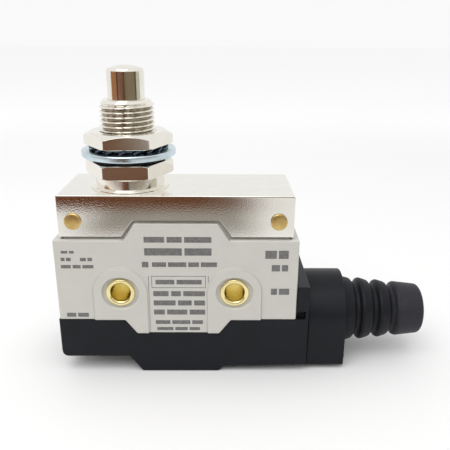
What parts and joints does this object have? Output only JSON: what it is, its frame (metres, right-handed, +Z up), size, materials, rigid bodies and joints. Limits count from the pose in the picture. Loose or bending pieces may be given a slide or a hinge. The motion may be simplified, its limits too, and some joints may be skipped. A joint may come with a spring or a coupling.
{
  "type": "limit switch",
  "caption": "Enclosed limit switch with a plain metal plunger in a threaded panel bushing, a riveted metal cover and a side cable entry with a ribbed rubber boot.",
  "frame": {"origin": "midway between the two mounting holes, at half the thickness of the housing", "axes": "+X along the body towards the cable boot, +Y through the mounting holes towards the back, +Z up along the plunger out of the panel bushing"},
  "size_m": [0.0851, 0.0226, 0.0686],
  "materials": {
    "housing_plastic": "satin, light warm grey",
    "nickel": "polished nickel plate",
    "blue_zinc": "blue passivated zinc plate",
    "dark_steel": "phosphated spring steel",
    "spring_steel": "bright drawn wire and zinc-plated screws",
    "brass": "bright brass",
    "contact_copper": "rolled beryllium copper",
    "contact_silver": "polished silver alloy",
    "black_plastic": "fine satin",
    "boot_rubber": "matt, dusty",
    "seal_rubber": "matt",
    "phenolic": "moulded phenolic",
    "button_plastic": "moulded red",
    "pusher_plastic": "natural acetal"
  },
  "bodies": {
    "root": {"housing": "housing_plastic", "metal_cover": "nickel", "cover_rivets": "brass", "top_gasket": "seal_rubber", "mounting_eyelets": "brass", "bushing": "nickel", "wiper_ring": "seal_rubber", "diaphragm": "seal_rubber", "spring_seat": "spring_steel", "return_spring": "spring_steel", "block_base": "phenolic", "block_lid": "phenolic", "fixed_contacts": "contact_silver", "common_terminal": "brass", "open_terminal": "brass", "closed_terminal": "brass", "terminal_washers": "spring_steel", "terminal_screws": "spring_steel", "rim_gasket": "seal_rubber", "terminal_cover": "black_plastic", "terminal_cover_screws": "spring_steel", "gland_base": "black_plastic", "gland_screws": "spring_steel", "cable_boot": "boot_rubber"},
    "plunger": {"plunger": "nickel"},
    "inner_pusher": {"inner_pusher": "pusher_plastic", "switch_button": "button_plastic", "overtravel_spring": "spring_steel"},
    "snap_blade": {"snap_blade": "contact_copper", "moving_contact": "contact_silver"},
    "washer_stack": {"flat_washer": "blue_zinc", "seal_washer": "seal_rubber"},
    "lower_nut": {"lower_nut": "nickel"},
    "lock_washer": {"lock_washer": "dark_steel"},
    "upper_nut": {"upper_nut": "nickel"}
  },
  "joints": [
    {"name": "plunger_slide", "type": "slide", "parent": "root", "child": "plunger", "axis": [0, 0, -1], "range_m": [0, 0.0055], "stiffness_N_per_m": 600, "springref_m": -0.008, "deforming": ["return_spring", "overtravel_spring"]},
    {"name": "pusher_slide", "type": "slide", "parent": "root", "child": "inner_pusher", "axis": [0, 0, -1], "range_m": [0, 0.0004]},
    {"name": "blade_swing", "type": "hinge", "parent": "root", "child": "snap_blade", "pos_m": [-0.02, 0, 0.00627], "axis": [0, 1, 0], "range_deg": [0, 2.55]},
    {"name": "washer_lift", "type": "slide", "parent": "root", "child": "washer_stack", "axis": [0, 0, 1], "range_m": [0, 0.003]},
    {"name": "lower_nut_turn", "type": "hinge", "parent": "washer_stack", "child": "lower_nut", "pos_m": [-0.0109, 0, 0.0265], "axis": [0, 0, 1], "range_deg": [0, 1080]},
    {"name": "lock_washer_lift", "type": "slide", "parent": "washer_stack", "child": "lock_washer", "axis": [0, 0, 1], "range_m": [0, 0.003]},
    {"name": "upper_nut_turn", "type": "hinge", "parent": "lock_washer", "child": "upper_nut", "pos_m": [-0.0109, 0, 0.033], "axis": [0, 0, 1], "range_deg": [0, 1080]}
  ],
  "couplings": [
    {"joint": "pusher_slide", "follows": "plunger_slide", "ratio": 0.0699},
    {"joint": "blade_swing", "follows": "plunger_slide", "rad_per_m": 7.682},
    {"joint": "washer_lift", "follows": "lower_nut_turn", "m_per_rad": 0.00015915},
    {"joint": "lock_washer_lift", "follows": "upper_nut_turn", "m_per_rad": 0.00015915}
  ]
}
